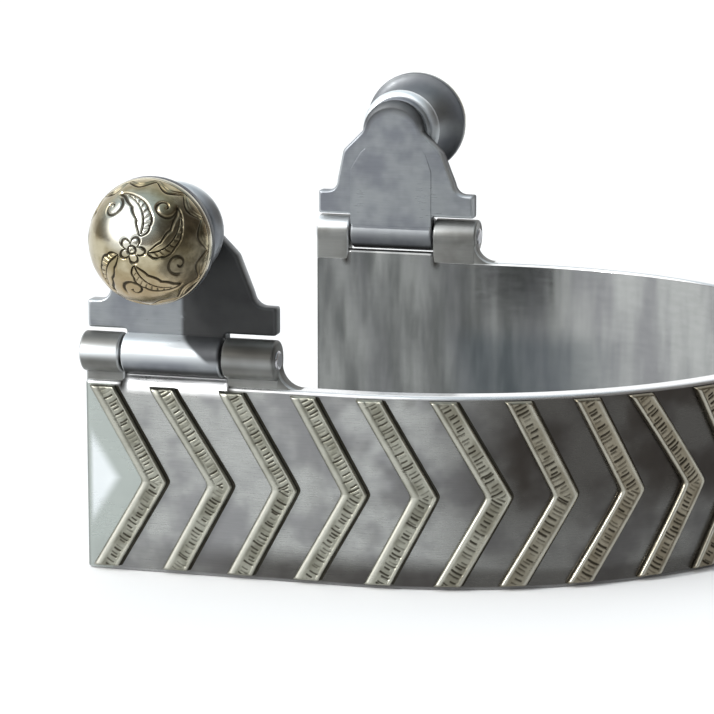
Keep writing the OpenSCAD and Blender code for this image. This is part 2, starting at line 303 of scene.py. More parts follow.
def buffedMetalGroup():
    # Polished metal: cloudy patches of two tints, fine buffing lines, faint dents
    inputs = {"Vector": "Vector", "Pale": "Color", "Deep": "Color",
              "Patch Size": "Float", "Smooth": "Float", "Dull": "Float"}
    outputs = {"Color": "Color", "Roughness": "Float", "Height": "Float"}
    group, into, out = newGroup("buffedMetal", inputs, outputs)
    vector = into["Vector"]
    size, smooth, dull = [Value(group, into[label]) for label in ("Patch Size", "Smooth", "Dull")]
    cloud = noise(group, vector, 1.0 / size, 3.0, 0.55)
    lines = noise(group, vector, 1.0, 3.0, 0.6, (0.35, 6.0, 6.0))
    dents = noise(group, vector, 0.45, 1.0, 0.4)
    tint = mixColours(group, cloud.ramp(0.38, 0.64), into["Pale"], into["Deep"])
    shade = {0: tint, 3: lines.scaled(0.3, 0.85)}
    feed(group, out, {
        "Color": addNode(group, "ShaderNodeVectorMath", shade, operation="SCALE").outputs[0],
        "Roughness": (cloud * 0.6 + lines * 0.4).ramp(0.3, 0.7).scaled(dull - smooth, smooth),
        "Height": lines * 0.12 + dents})
    return group


def surfaceTintGroup():
    # A tint laid over the metal by a share of a mask: worn edges and painted highlights, painted shade, oxide
    inputs = {"Color": "Color", "Tint": "Color", "Mask": "Float", "Share": "Float"}
    group, into, out = newGroup("surfaceTint", inputs, {"Color": "Color"})
    amount = Value(group, into["Mask"]) * into["Share"]
    feed(group, out, {"Color": mixColours(group, amount, into["Color"], into["Tint"])})
    return group


buffedMetal = buffedMetalGroup()
surfaceTint = surfaceTintGroup()


def startMaterial(name, look):
    material = bpy.data.materials.new(name)
    material.use_nodes = True
    tree = material.node_tree
    tree.nodes.clear()
    shader = addNode(tree, "ShaderNodeBsdfPrincipled", {"Metallic": look["metallic"]})
    addNode(tree, "ShaderNodeOutputMaterial", {0: shader.outputs[0]})
    place = addNode(tree, "ShaderNodeTexCoord").outputs["Object"]
    inMillimetres = addNode(tree, "ShaderNodeVectorMath", {0: place, 3: 1 / mm}, operation="SCALE").outputs[0]
    return material, tree, shader, inMillimetres


def placeMetal(tree, vector, look):
    inputs = {"Vector": vector, "Pale": (*look["pale"], 1), "Deep": (*look["deep"], 1),
              "Patch Size": look["patch"], "Smooth": look["smooth"], "Dull": look["dull"]}
    tone, rough, height = addNode(tree, "ShaderNodeGroup", inputs, node_tree=buffedMetal).outputs
    return tone, Value(tree, rough), height


def tinted(tree, tone, look, masks):
    # Tints one over the other, in the order of the masks
    for name, mask in masks.items():
        inputs = {"Color": tone, "Tint": (*look[name + "Tint"], 1),
                  "Mask": mask, "Share": look[name + "Share"]}
        tone = addNode(tree, "ShaderNodeGroup", inputs, node_tree=surfaceTint).outputs[0]
    return tone


def endMaterial(tree, shader, look, tone, rough, height):
    inputs = {"Strength": look["bump"], "Distance": look["bumpDepth"] * mm, "Height": height}
    bump = addNode(tree, "ShaderNodeBump", inputs)
    feed(tree, shader, {"Base Color": tone, "Roughness": rough, "Normal": bump.outputs[0]})


# Finishes
def plainSteel(name, look):
    # Satin steel with bright edges, worn and with painted highlights, dark and dull where painted shade lies
    material, tree, shader, place = startMaterial(name, look)
    tone, rough, bumps = placeMetal(tree, place, look)
    paintedShade = attribute(tree, "paintedShade")
    tone = tinted(tree, tone, look, {"paintedShade": paintedShade, "wearAndHighlight": attribute(tree, "wearAndHighlight")})
    endMaterial(tree, shader, look, tone, paintedShade.scaled(0.25 * look["paintedShadeShare"], rough), bumps)
    return material


def bandSteelMaterial(look):
    # Bright steel that darkens between the chevrons towards the heel, with a pale tip; painted highlights,
    # painted shade and painted dark reflections are laid in too
    material, tree, shader, place = startMaterial("bandSteel", look)
    c = chevronSet
    along = attribute(tree, "along")
    outer = attribute(tree, "outer")
    paintedDark = attribute(tree, "paintedDark")
    height = Value(tree, addNode(tree, "ShaderNodeSeparateXYZ", {0: place}).outputs[2])
    # Inside the band the marks run up and down, so height counts less there
    squeezed = height * outer.scaled(0.8, 0.2)
    flat = addNode(tree, "ShaderNodeCombineXYZ", {0: along, 1: squeezed, 2: outer * 50.0}).outputs[0]
    tone, rough, bumps = placeMetal(tree, flat, look)
    # Outside, brown darkening grows towards the heel, in patches at first: partly tarnish, partly a painted
    # dark reflection
    patches = noise(tree, flat, 0.17, 2.5).ramp(0.42, 0.62)
    past = along.ramp(look["darkFrom"], look["darkTo"]) * patches.scaled(0.08, 0.92)
    early = along.ramp(look["earlyFrom"], look["darkTo"]) * patches
    cloudy = past.most(early * look["earlyShare"])
    # It is thinner low down, but returns along the lower edge
    cloudy = cloudy * height.ramp(*look["thinUp"]).scaled(0.25, 0.75)
    edge = height.ramp(*look["edgeUp"]) * along.ramp(*look["edgeAlong"])
    dark = cloudy.most(edge * look["edgeShare"]) * outer
    # The tip is pale as far as the first chevron, with a painted highlight: a white patch that narrows away
    # from its edge
    below = (c["pointZ"] - height) / (c["pointZ"] - c["lowZ"])
    above = (height - c["pointZ"]) / (c["highZ"] - c["pointZ"])
    beyond = along + below.most(above) * c["depth"] - c["first"]
    tip = beyond.under(-0.5 * c["width"]) * outer
    reach = look["whiteReach"] - abs(height - look["whiteUp"]).scaled(look["whiteSlope"], along)
    white = reach.ramp(-0.9, 0.7) * along.ramp(0.4, 1.0) * tip
    # Inside, the arms carry painted shade as far as the bend, and a painted dark reflection low down
    inside = 1.0 - outer
    arm = 1.0 - along.ramp(*look["armEnd"])
    streaks = noise(tree, flat, 0.3, 3.0).ramp(0.3, 0.7)
    dull = streaks.scaled(0.46, 0.4) * (arm * inside)
    low = height.ramp(*look["lowUp"]) * along.ramp(*look["lowFrom"])
    low = low * (1.0 - along.ramp(*look["lowTo"])) * inside
    # The corner mask here is painted shade beside the knuckles and under the barrel, the edge mask wear with
    # painted highlights
    tone = tinted(tree, tone, look, {"tip": tip, "white": white, "dull": dull, "low": low, "dark": dark,
                                     "paintedDark": paintedDark, "wearAndHighlight": attribute(tree, "wearAndHighlight")})
    # The inside is polished smoother than the outside
    rough = rough * outer.scaled(0.45, 0.55)
    endMaterial(tree, shader, look, tone, paintedDark.scaled(0.3, rough), bumps)
    return material


def engravedNickel(name, look):
    # Nickel silver with dark oxide left in the cuts, which also carries painted shadow and a painted dark
    # reflection, bright worn edges with painted highlights, and a warm tint
    material, tree, shader, place = startMaterial(name, look)
    tone, rough, bumps = placeMetal(tree, place, look)
    warm = attribute(tree, "warm")
    wearAndHighlight = attribute(tree, "wearAndHighlight")
    oxide = (attribute(tree, "cut") + noise(tree, place, 1.4) * 0.25).ramp(*look["oxideSpan"])
    tone = tinted(tree, tone, look, {"warm": warm, "wearAndHighlight": wearAndHighlight, "oxide": oxide})
    endMaterial(tree, shader, look, tone, oxide.scaled(0.25, rough), bumps)
    return material


# Chevron strips: sizes along the band and up it, used by the band's finish too
# They were laid by hand: how far the point, the upper and the lower end of each are off the even spacing
chevronSet = {"first": 10.5, "pitch": 7.8, "depth": 5.8, "pointZ": 10.8, "lowZ": 0.5, "highZ": 21.7,
              "width": 3.05, "rise": 0.8, "sunk": 0.15, "wall": 0.4, "channel": 0.08, "skirt": 0.26,
              "blunt": 0.28, "rails": ((0.95, 0.38), (0.5, 0.66)), "railTurn": (3.5, 6.5),
              "tick": 0.52, "tickCut": 0.07, "tickWidth": 0.13, "tickDark": 0.85, "bow": 0.08,
              "longest": 26, "wander": 0.15, "deep": (0.35, 1.0), "reach": (0.65, 1.15), "shift": 0.25,
              "warmFrom": (3.5, 7.5), "rows": 340, "columns": 28, "seed": 7,
              "laid": ((-0.65, -1.2, -1.0), (-0.6, -1.9, -0.45), (-0.7, -1.4, -0.45), (-0.35, -0.7, -0.4),
                       (-0.3, -0.85, 0.15), (0.2, -0.35, 0.2), (0.0, 0.2, -0.3), (0.3, 0.3, -0.35),
                       (0.85, -0.9, 0.55), (0.4, 0.2, 0.3), (0.2, 0.0, 0.1), (0.0, 0.1, 0.0))}
bandLook = {"pale": (0.375, 0.382, 0.37), "deep": (0.24, 0.242, 0.246), "patch": 6.0, "smooth": 0.22,
            "dull": 0.4, "metallic": 0.85, "bump": 0.16, "bumpDepth": 0.25,
            "darkFrom": 35.0, "darkTo": 51.0, "darkShare": 0.95, "darkTint": (0.022, 0.017, 0.013),
            "earlyFrom": 14.0, "earlyShare": 0.6, "thinUp": (5.0, 12.0),
            "edgeUp": (5.0, 1.5), "edgeAlong": (-4.0, 26.0), "edgeShare": 0.85,
            "tipShare": 0.85, "tipTint": (0.4, 0.44, 0.415),
            "whiteUp": 10.9, "whiteReach": 3.7, "whiteSlope": 0.63,
            "whiteShare": 1.0, "whiteTint": (0.72, 0.76, 0.77),
            "armEnd": (27.0, 44.0), "dullShare": 1.0, "dullTint": (0.06, 0.064, 0.062),
            "lowUp": (14.5, 10.0), "lowFrom": (17.0, 24.0), "lowTo": (36.0, 50.0), "lowShare": 0.5,
            "lowTint": (0.04, 0.055, 0.068), "paintedDarkShare": 1.0, "paintedDarkTint": (0.014, 0.011, 0.008),
            "wearAndHighlightShare": 0.9, "wearAndHighlightTint": (0.84, 0.85, 0.86)}
hangerLook = {"pale": (0.24, 0.255, 0.265), "deep": (0.155, 0.165, 0.185), "patch": 6.0, "smooth": 0.26,
              "dull": 0.44, "metallic": 0.7, "bump": 0.07, "bumpDepth": 0.25,
              "wearAndHighlightShare": 0.85, "wearAndHighlightTint": (0.8, 0.84, 0.86),
              "paintedShadeShare": 0.9, "paintedShadeTint": (0.022, 0.021, 0.02)}
knuckleLook = {**hangerLook, "pale": (0.25, 0.255, 0.245), "deep": (0.168, 0.168, 0.158),
               "paintedShadeTint": (0.03, 0.027, 0.021)}
rowelLook = {"pale": (0.42, 0.42, 0.43), "deep": (0.27, 0.27, 0.29), "patch": 4.0, "smooth": 0.28,
             "dull": 0.5, "metallic": 0.9, "bump": 0.3, "bumpDepth": 0.2,
             "wearAndHighlightShare": 0.7, "wearAndHighlightTint": (0.75, 0.76, 0.78),
             "paintedShadeShare": 0.8, "paintedShadeTint": (0.06, 0.055, 0.05)}
pinLook = {**rowelLook, "pale": (0.45, 0.45, 0.47), "deep": (0.3, 0.3, 0.32), "patch": 3.0, "smooth": 0.2,
           "dull": 0.4, "metallic": 0.95, "bump": 0.2, "bumpDepth": 0.1}
chevronLook = {"pale": (0.33, 0.33, 0.28), "deep": (0.2, 0.198, 0.16), "patch": 2.5, "smooth": 0.24,
               "dull": 0.46, "metallic": 1.0, "bump": 0.25, "bumpDepth": 0.12,
               "oxideSpan": (0.2, 0.75), "oxideShare": 0.9, "oxideTint": (0.026, 0.022, 0.015),
               "wearAndHighlightShare": 0.6, "wearAndHighlightTint": (0.58, 0.575, 0.51),
               "warmShare": 0.7, "warmTint": (0.2, 0.165, 0.115)}
capLook = {"pale": (0.5, 0.445, 0.31), "deep": (0.3, 0.25, 0.145), "patch": 3.0, "smooth": 0.1,
           "dull": 0.24, "metallic": 1.0, "bump": 0.15, "bumpDepth": 0.12,
           "oxideSpan": (0.3, 0.9), "oxideShare": 0.94, "oxideTint": (0.03, 0.024, 0.015),
           "wearAndHighlightShare": 0.75, "wearAndHighlightTint": (0.74, 0.75, 0.7),
           "warmShare": 0.5, "warmTint": (0.42, 0.31, 0.19)}
bandSteel = bandSteelMaterial(bandLook)
knuckleSteel = plainSteel("knuckleSteel", knuckleLook)
hangerSteel = plainSteel("hangerSteel", hangerLook)
rowelSteel = plainSteel("rowelSteel", rowelLook)
pinSteel = plainSteel("pinSteel", pinLook)
chevronNickel = engravedNickel("chevronNickel", chevronLook)
capNickel = engravedNickel("capNickel", capLook)
print("finishes made")

# Heel band: a rounded section carried along the U
bandSet = {"radius": 46.0, "arm": 31.0, "height": 22.2, "thickness": 2.5, "edge": 0.45, "tipEdge": 0.5,
           "support": 0.06, "armRows": 60, "arcRows": 200, "edgeSteps": 7, "faceSteps": 18,
           "seat": 0.55, "seatFrom": 4.4, "seatTo": 17.2, "seatEase": 0.3, "ease": 0.85, "easeDown": 2.3,
           "hollow": 2.5, "lip": 1.0, "footTo": (24.0, 26.0)}


def bandSection(b):
    # Half thickness outwards and height, taken round the section from the middle of the lower edge
    w = b["thickness"] / 2
    h = b["height"]
    e = b["edge"]
    s = b["support"]
    face = np.r_[np.linspace(e + s, h - 2.2, b["faceSteps"]), np.linspace(h - 2.0, h - e - s, 8)]
    quarter = b["edgeSteps"] + 1
    right = np.vstack([[[0, 0], [w - e - s, 0]], arcPoints((w - e, e), e, -90, 0, quarter),
                       np.stack([np.full(face.size, w), face], -1),
                       arcPoints((w - e, h - e), e, 0, 90, quarter), [[w - e - s, h]]])
    top = np.linspace(w - e - s, 0, 5)[1:, None] * [1, 0] + np.array([0, h])
    half = np.vstack([right, top])
    return np.vstack([half, half[-2:0:-1] * np.array([-1, 1])])


def seatWindow(along):
    # 1 between the fixed knuckles, where the band's edge is raised
    b = bandSet
    start = np.clip((along - b["seatFrom"]) / b["seatEase"], 0, 1)
    return start * np.clip((b["seatTo"] - along) / b["seatEase"], 0, 1)


def easedEdge(along, up):
    # How far the outer face leans in under the barrel: ease * (distance above the start / easeDown)^2
    b = bandSet
    climb = np.clip((up - b["height"] - b["seat"] + b["easeDown"]) / b["easeDown"], 0, 1)
    return b["ease"] * seatWindow(along) * climb ** 2


def bandPath(along, outwards):
    # The middle line, straight for each arm and round for the heel; along is counted from the left tip
    b = bandSet
    half = b["arm"] + b["radius"] * math.pi / 2
    u = np.minimum(along, 2 * half - along)
    turn = np.clip((u - b["arm"]) / b["radius"], 0, None)
    reach = b["radius"] + outwards
    x = np.where(u < b["arm"], u - b["arm"], reach * np.sin(turn))
    y = np.where(u < b["arm"], -reach, -reach * np.cos(turn))
    return x, np.where(along <= half, y, -y)


def heelBand(b):
    half = b["arm"] + b["radius"] * math.pi / 2
    e = b["tipEdge"]
    a = np.linspace(0, math.pi / 2, b["edgeSteps"] + 1)
    start = np.r_[0, e * (1 - np.cos(a))]
    inset = np.r_[e + b["support"], e * (1 - np.sin(a))]
    seatStart = (b["seatFrom"], b["seatFrom"] + b["seatEase"])
    seatEnd = (b["seatTo"] - b["seatEase"], b["seatTo"])
    arm = np.union1d(np.linspace(e, b["arm"], b["armRows"])[1:], seatStart + seatEnd)
    arc = np.linspace(b["arm"], half, b["arcRows"] // 2)[1:]
    firstHalf = np.r_[start, arm, arc]
    insetHalf = np.r_[inset, np.zeros(arm.size + arc.size)]
    along = np.r_[firstHalf, 2 * half - firstHalf[-2::-1]]
    inset = np.r_[insetHalf, insetHalf[-2::-1]]
    section = bandSection(b)
    # At the tips the section draws in by the same amount on every side
    room = section[None] + inwards(section)[None] * inset[:, None, None]
    u = np.minimum(along, 2 * half - along)
    nearTop = np.clip((room[:, :, 1] - b["height"] + 2.0) / 1.5, 0, 1)
    # Between the knuckles the edge is hollowed round the barrel up to a lip,
    # z = axis - sqrt(hollow^2 - distance^2)
    aside = np.clip(b["radius"] + room[:, :, 0] - axisY, -2.2, 2.2)
    hollow = np.minimum(axisZ - np.sqrt(b["hollow"] ** 2 - aside ** 2) - b["height"], b["lip"])
    room[:, :, 1] += hollow * seatWindow(u)[:, None] * nearTop
    outside = np.clip(room[:, :, 0] / b["thickness"] * 2, 0, 1)
    x, y = bandPath(along[:, None], room[:, :, 0] - easedEdge(u[:, None], room[:, :, 1]) * outside)
    points = np.stack([x, y, room[:, :, 1]], -1)
    outerArc = np.clip(u - b["arm"], 0, None) * (b["radius"] + b["thickness"] / 2) / b["radius"]
    alongOuter = np.minimum(u, b["arm"]) + outerArc
    corner = np.maximum(np.abs(section[:, 0]) - b["thickness"] / 2 + b["edge"], 0) / b["edge"]
    level = np.maximum(np.abs(section[:, 1] - b["height"] / 2) - b["height"] / 2 + b["edge"], 0) / b["edge"]
    rubbedAndHighlight = np.where(section[:, 1] > b["height"] / 2, level ** 0.5, 0.5 * level * corner)
    eased = easedEdge(u[:, None], room[:, :, 1]) * outside / b["ease"]
    # Under the knuckles the inner edge isn't rubbed bright; painted shade darkens the corners beside them and
    # the seat under the barrel, the tip's edge is darker, and the eased face under the barrel gets a painted
    # highlight
    under = np.maximum(1 - blend(u, *seatStart), blend(u, *seatEnd) * (1 - blend(u, *b["footTo"])))
    inner = (section[:, 0] < b["thickness"] * 0.3)[None]
    seat = (np.abs(section[:, 0]) < b["thickness"] * 0.45) * (section[:, 1] > b["height"] - 0.1)
    seat = seatWindow(u)[:, None] * seat
    rubbedAndHighlight = rubbedAndHighlight[None] * (1 - inner * np.maximum(under, 0.8 * seatWindow(u))[:, None]) * (1 - seat)
    corners = np.maximum(lineCut(u - b["seatFrom"], 0.45), lineCut(u - b["seatTo"] - 0.1, 0.45))
    corners = corners[:, None] * blend(room[:, :, 1], b["height"] - 1.6, b["height"] - 0.4)
    paintedDark = np.maximum(corners, 0.6 * seat)
    paintedDark = np.maximum(paintedDark, 0.4 * blend(u, e, 0.4 * e)[:, None])
    outer = (section[:, 0] > b["thickness"] / 2 - 0.3).astype(float)
    fields = {"along": np.repeat(alongOuter[:, None], len(section), 1),
              "outer": np.repeat(outer[None], len(along), 0),
              "wearAndHighlight": np.maximum(rubbedAndHighlight, np.clip(eased * 2.5, 0, 0.9)) * (1 - paintedDark),
              "paintedDark": paintedDark}
    addPiece("heel_band_shell", closedTube(points), "band", bandSteel, "heel_band", fields)


heelBand(bandSet)
print("heel band made")

# Knuckles on the band's top edge, with the concave foot on the heel side
knuckleSet = {"radius": 2.3, "tip": (-31.0, -26.3), "barrel": (-26.05, -14.35), "heel": (-14.1, -8.0),
              "edge": 0.28, "sunk": 0.6, "setBack": 0.4, "foot": 2.6, "footEdge": 0.3, "soft": 0.12,
              "count": 120, "levels": (-0.6, -0.34, -0.05, 0.25, 0.5, 0.7, 0.85),
              "tipShade": (0.35, 0.6, 0.5, 0.25, 0.2, 0.2, 0.3),
              "heelShade": (0.25, 0.65, 0.4, 0.95, 1.0, 0.9, 0.4), "footShade": 0.7,
              "stripe": {"tip": 0.14, "heel": -0.08}, "rubbedAndHighlight": {"tip": 1.0, "heel": 0.12},
              "inside": {"tip": 0.75, "heel": 0.95}}


def knuckleOutline(k, b):
    # Section of a fixed knuckle, y outwards and z up: a circle on a web that stands on the band's top edge
    outer = -(b["radius"] + b["thickness"] / 2 - k["setBack"])
    inner = -(b["radius"] - b["thickness"] / 2 + 0.02)
    base = b["height"] - k["sunk"]
    turnIn = math.degrees(math.acos((inner + axisY) / k["radius"]))
    turnOut = math.degrees(math.acos((outer + axisY) / k["radius"]))
    ring = arcPoints((-axisY, axisZ), k["radius"], -turnIn, 360 - turnOut, 90)
    return np.vstack([[[outer, base], [inner, base]], ring])


def addHingePiece(name, points, wear, side, body, node=None, centres=None, paintedShade=None):
    ends = [onSide(c, side) for c in centres] if centres else []
    fields = {"wearAndHighlight": wear} if paintedShade is None else {"wearAndHighlight": wear, "paintedShade": paintedShade}
    steel = knuckleSteel if body == "band" else hangerSteel
    shape = closedTube(onSide(points, side), *ends)
    addPiece(name + "_" + side, shape, body, steel, node, fields)


def fixedKnuckles(k, b):
    e = (k["edge"], k["edge"], 1)
    f = (k["footEdge"], k["footEdge"], 1)
    corner = k["heel"][1]
    top = b["height"]
    r = k["foot"]
    sole = [[corner - 1.5, top - 1.6], [corner + r + 1.0, top - 1.6], [corner + r + 0.8, top - 0.02]]
    foot = np.vstack([sole, arcPoints((corner + r, top + r), r, 268, 180, 20),
                      [[corner - 1.5, top + r + 0.2]]])
    half = b["thickness"] / 2
    across = (-(b["radius"] + half - k["setBack"] - 0.05), -(b["radius"] - half + 0.05))
    hub = [np.array([corner - 0.6, y, top - 0.6]) for y in across]
    for side in sides:
        for name in ("tip", "heel"):
            prism, wear = roundedPrism(knuckleOutline(k, b), k["count"], k["soft"], k[name], (e, e))
            # A painted highlight along a stripe over the rubbed edges; painted shade at different heights on
            # the outer side, heaviest on the heel knuckle, where it stands for the button's shadow; painted
            # shade inside
            high = (prism[:, :, 1] - axisZ) / k["radius"]
            out = blend(-(prism[:, :, 0] + axisY) / k["radius"], -0.5, -0.1)
            stripe = out * lineCut(high - k["stripe"][name], 0.26) + (1 - out) * blend(high, 0.2, 0.5)
            rubAndHighlight = k["rubbedAndHighlight"][name] * np.maximum(0.4 * wear, stripe)
            low = blend(high, 0.1, -0.35)
            paintedDark = out * np.interp(high, k["levels"], k[name + "Shade"])
            paintedDark = paintedDark + (1 - out) * k["inside"][name] * (0.3 + 0.17 * low)
            addHingePiece(name + "_knuckle", prism[:, :, [2, 0, 1]], rubAndHighlight, side, "band", None, None, paintedDark)
        # The foot is darkened all over with painted shade
        prism, wear = roundedPrism(foot, 100, 0.08, across, (f, f))
        paintedDark = k["footShade"] + 0 * wear
        addHingePiece("knuckle_foot", prism[:, :, [0, 2, 1]], 0.5 * wear, side, "band", None, hub, paintedDark)


fixedKnuckles(knuckleSet, bandSet)

# Hangers: a shaped plate with its tongue, the barrel on the pin, and the leaf folded up the inner side
hangerSet = {"inner": 44.75, "thickness": 2.1, "base": 2.7, "ledge": 5.9, "hollow": 1.5, "baseWidth": 22.4,
             "waist": 16.8, "shoulder": 14.2, "shoulderUp": 11.7, "roundEnd": 4.25, "button": 14.5,
             "edge": 0.35, "rolled": 0.6, "rolledDeep": 0.45, "soft": 0.2, "count": 520, "centreUp": 4.3,
             "tipwards": 0.5, "rubbedAndHighlight": 0.4, "faceRings": np.linspace(0.03, 0.93, 16), "shadowEdgeAt": 0.15,
             "leaf": 0.07, "leafFoot": 1.2, "leafBend": 9.0, "leafTop": 13.0, "leafEdge": 0.06,
             "barrelCount": 96, "barrelRows": 60}


def plateOutline(h, k):
    # Outline of the plate from its middle, up from the hinge axis:
    # tongue, base, hollow waist, shoulder, round end
    tongue = [x - plateMiddle for x in k["barrel"]]
    half = h["baseWidth"] / 2
    waist = h["waist"] / 2
    shoulder = h["shoulder"] / 2
    hollow = arcPoints((waist + h["hollow"], h["ledge"] + h["hollow"]), h["hollow"], 270, 180, 12)
    right = np.vstack([[[half, h["base"]], [half, h["ledge"]]], hollow, [[shoulder, h["shoulderUp"]]]])
    # The shoulder's 45 degree slope meets the round end where x + z is the shoulder's own sum
    gap = (shoulder + h["shoulderUp"] - h["button"]) / h["roundEnd"] / math.sqrt(2)
    meet = math.degrees(math.asin(gap)) - 45
    ring = arcPoints((0, h["button"]), h["roundEnd"], meet, 180 - meet, 60)
    upper = np.vstack([right, ring, right[::-1] * np.array([-1, 1])])
    # Above the ledges the plate leans a little towards the tip
    upper[:, 0] -= h["tipwards"] * blend(upper[:, 1], h["ledge"], h["shoulderUp"])
    start = [[tongue[1], 0], [tongue[1], h["base"]]]
    end = [[tongue[0], h["base"]], [tongue[0], 0]]
    return np.vstack([start, upper, end])


def leafOutline(h, k):
    # The strip that goes round the pin, up the plate's inner side and narrows below the round end
    low, high = [x - plateMiddle for x in k["barrel"]]
    foot = h["leafFoot"]
    bend = h["leafBend"]
    top = h["leafTop"]
    return np.array([[low, foot], [high, foot], [high, bend], [high - 0.9, 11.6],
                     [3.0, top], [-3.0, top], [low + 1.6, 11.6], [low, bend]])


def hangers(h, k):
    outline = plateOutline(h, k)
    loop = smoothLoop(outline, h["count"], h["soft"])
    up = np.clip((loop[:, 1] - h["button"] + 0.5) / (h["roundEnd"] + 0.5), 0, 1)
    # The round end is rolled over on the inner side
    rolled = (h["edge"] + h["rolled"] * up ** 1.5, h["edge"] + h["rolledDeep"] * up ** 1.5, 1.4)
    outer = -(h["inner"] + h["thickness"])
    prism, wear = roundedPrism(outline, h["count"], h["soft"], (outer, -h["inner"]),
                               ((h["edge"], h["edge"], 1), rolled), 9)
    face = [np.array([h["shadowEdgeAt"], h["centreUp"], y]) for y in (outer, -h["inner"])]
    prism = filledEnds(prism, face, h["faceRings"])
    rim = np.r_[0 * h["faceRings"], np.ones(len(wear)), 0 * h["faceRings"]][:, None]
    wear = np.pad(wear, ((len(h["faceRings"]),) * 2, (0, 0))) * h["rubbedAndHighlight"]
    move = np.array([plateMiddle, 0, axisZ])
    plate = prism[:, :, [0, 2, 1]] + move
    # Painted shadow of the button on the heel half of the outer side, and painted shade on the rolled edge of
    # the round end; the edges there are rubbed less
    heelwards = blend(prism[:, :, 0], h["shadowEdgeAt"] - 0.3, h["shadowEdgeAt"] + 0.3)
    heelwards = heelwards * blend(prism[:, :, 2], -h["inner"] - 0.3, -h["inner"] - 0.8)
    end = rim * blend(prism[:, :, 1], h["button"] - 1.0, h["button"] + 1.5)
    paintedShade = np.maximum(heelwards, 0.8 * end)
    wear = wear * (1 - 0.9 * np.maximum(heelwards, end))
    leafWay = (-h["inner"] - 0.3, -h["inner"] + h["leaf"])
    e = (h["leafEdge"], h["leafEdge"], 1)
    leaf, leafWear = roundedPrism(leafOutline(h, k), 240, 0.25, leafWay, (e, e))
    fade = np.clip((leaf[:, :, 1] - h["leafBend"]) / (h["leafTop"] - h["leafBend"]), 0, 1)
    leaf[:, :, 2] -= fade * (h["leaf"] + 0.02)
    count = h["barrelCount"]
    ring = circleLoop((-axisY, axisZ), k["radius"], count)
    e = (k["edge"], k["edge"], 1)
    barrel, barrelWear = roundedPrism(ring, count, 0.02, k["barrel"], (e, e))
    barrel, barrelWear = moreRows(barrel, barrelWear, h["barrelRows"])
    # The barrel has a painted highlight on its upper outer side over its rubbed edges, painted shade
    # underneath, is darker inside, and has the button's painted shadow across its heel end
    high = (barrel[:, :, 1] - axisZ) / k["radius"]
    inside = blend((barrel[:, :, 0] + axisY) / k["radius"], -0.1, 0.5)
    rubAndHighlight = np.maximum(0.4 * barrelWear, 0.9 * blend(high, -0.45, 0.3)) * (1 - 0.75 * inside)
    aslant = barrel[:, :, 2] - plateMiddle - 0.4 - 1.3 * k["radius"] * (1 - high)
    buttonShadow = blend(aslant, -0.4, 0.4) * blend(high, -0.35, 0.05) * (1 - inside)
    paintedDark = np.maximum(np.maximum(blend(high, -0.4, -0.8), 0.6 * inside), 0.8 * buttonShadow)
    rubAndHighlight = rubAndHighlight * (1 - buttonShadow)
    for side in sides:
        body = "hanger_" + side
        addHingePiece("hanger_plate", plate, wear, side, body, "button_hanger_" + side, None, paintedShade)
        addHingePiece("hanger_leaf", leaf[:, :, [0, 2, 1]] + move, leafWear * 0, side, body)
        addHingePiece("hanger_barrel", barrel[:, :, [2, 0, 1]], rubAndHighlight, side, body, None, None, paintedDark)


hangers(hangerSet, knuckleSet)
print("hinges made")

# Buttons: a turned stud and the engraved cap, both round the button's axis
studSet = {"neck": 4.0, "neckLength": 3.2, "flareEnd": 8.6, "length": 9.6, "rim": 7.1, "collar": 5.5,
           "collarLength": 2.0, "sunk": 0.3, "edge": 0.22, "count": 128, "paintedShade": 0.5}


def onButton(radius, out, turn):
    # Round the left button's axis: out is the distance from the plate's outer face
    x = plateMiddle + radius * np.cos(turn)
    y = -(hangerSet["inner"] + hangerSet["thickness"] + out) + 0 * turn
    z = axisZ + hangerSet["button"] + radius * np.sin(turn)
    return np.stack([x, y, z], -1)


def studs(s):
    a = np.linspace(0, math.pi / 2, 24)
    flare = np.stack([s["neck"] + (s["rim"] - s["neck"]) * (1 - np.cos(a)),
                      s["neckLength"] + (s["flareEnd"] - s["neckLength"]) * np.sin(a)], -1)
    bead = s["collarLength"] / 2
    collar = arcPoints((s["collar"] - bead, bead), bead, -90, 90, 20)
    crease = [[s["neck"] + 0.12, s["collarLength"] + 0.02], [s["neck"] + 0.02, s["collarLength"] + 0.12]]
    e = s["edge"]
    rim = np.vstack([arcPoints((s["rim"] - e, s["flareEnd"] + e), e, -90, 0, 6),
                     arcPoints((s["rim"] - e, s["length"] - e), e, 0, 90, 6)])
    start = [[s["neck"], -s["sunk"]], [s["collar"] - bead - 0.1, -s["sunk"]], [s["collar"] - bead - 0.05, 0]]
    inner = [[s["rim"] - e - 0.5, s["length"]], [1.0, s["length"]]]
    profile = np.vstack([start, collar, crease, flare[:-2], rim, inner])
    levels = [0, 0.05, bead, s["collarLength"], s["length"]]
    # A painted highlight on the collar, strongest towards the upper side, and painted shade on the flare
    bright = np.interp(profile[:, 1], levels, [0, 1.1, 1.1, 0.3, 0.0])
    dark = s["paintedShade"] * blend(profile[:, 1], s["neckLength"], s["flareEnd"])
    turn = fullTurn(s["count"])
    points = onButton(profile[:, :1], profile[:, 1:], turn[None])
    upper = 0.25 + 0.75 * blend(np.cos(turn - 1.9), 0.1, 0.7)
    fields = {"wearAndHighlight": bright[:, None] * upper[None], "paintedShade": np.repeat(dark[:, None], turn.size, 1)}
    for side in sides:
        shape = closedTube(onSide(points, side))
        addPiece("stud_turning_" + side, shape, "hanger_" + side, hangerSteel,
                 "button_stud_" + side, fields)


studs(studSet)

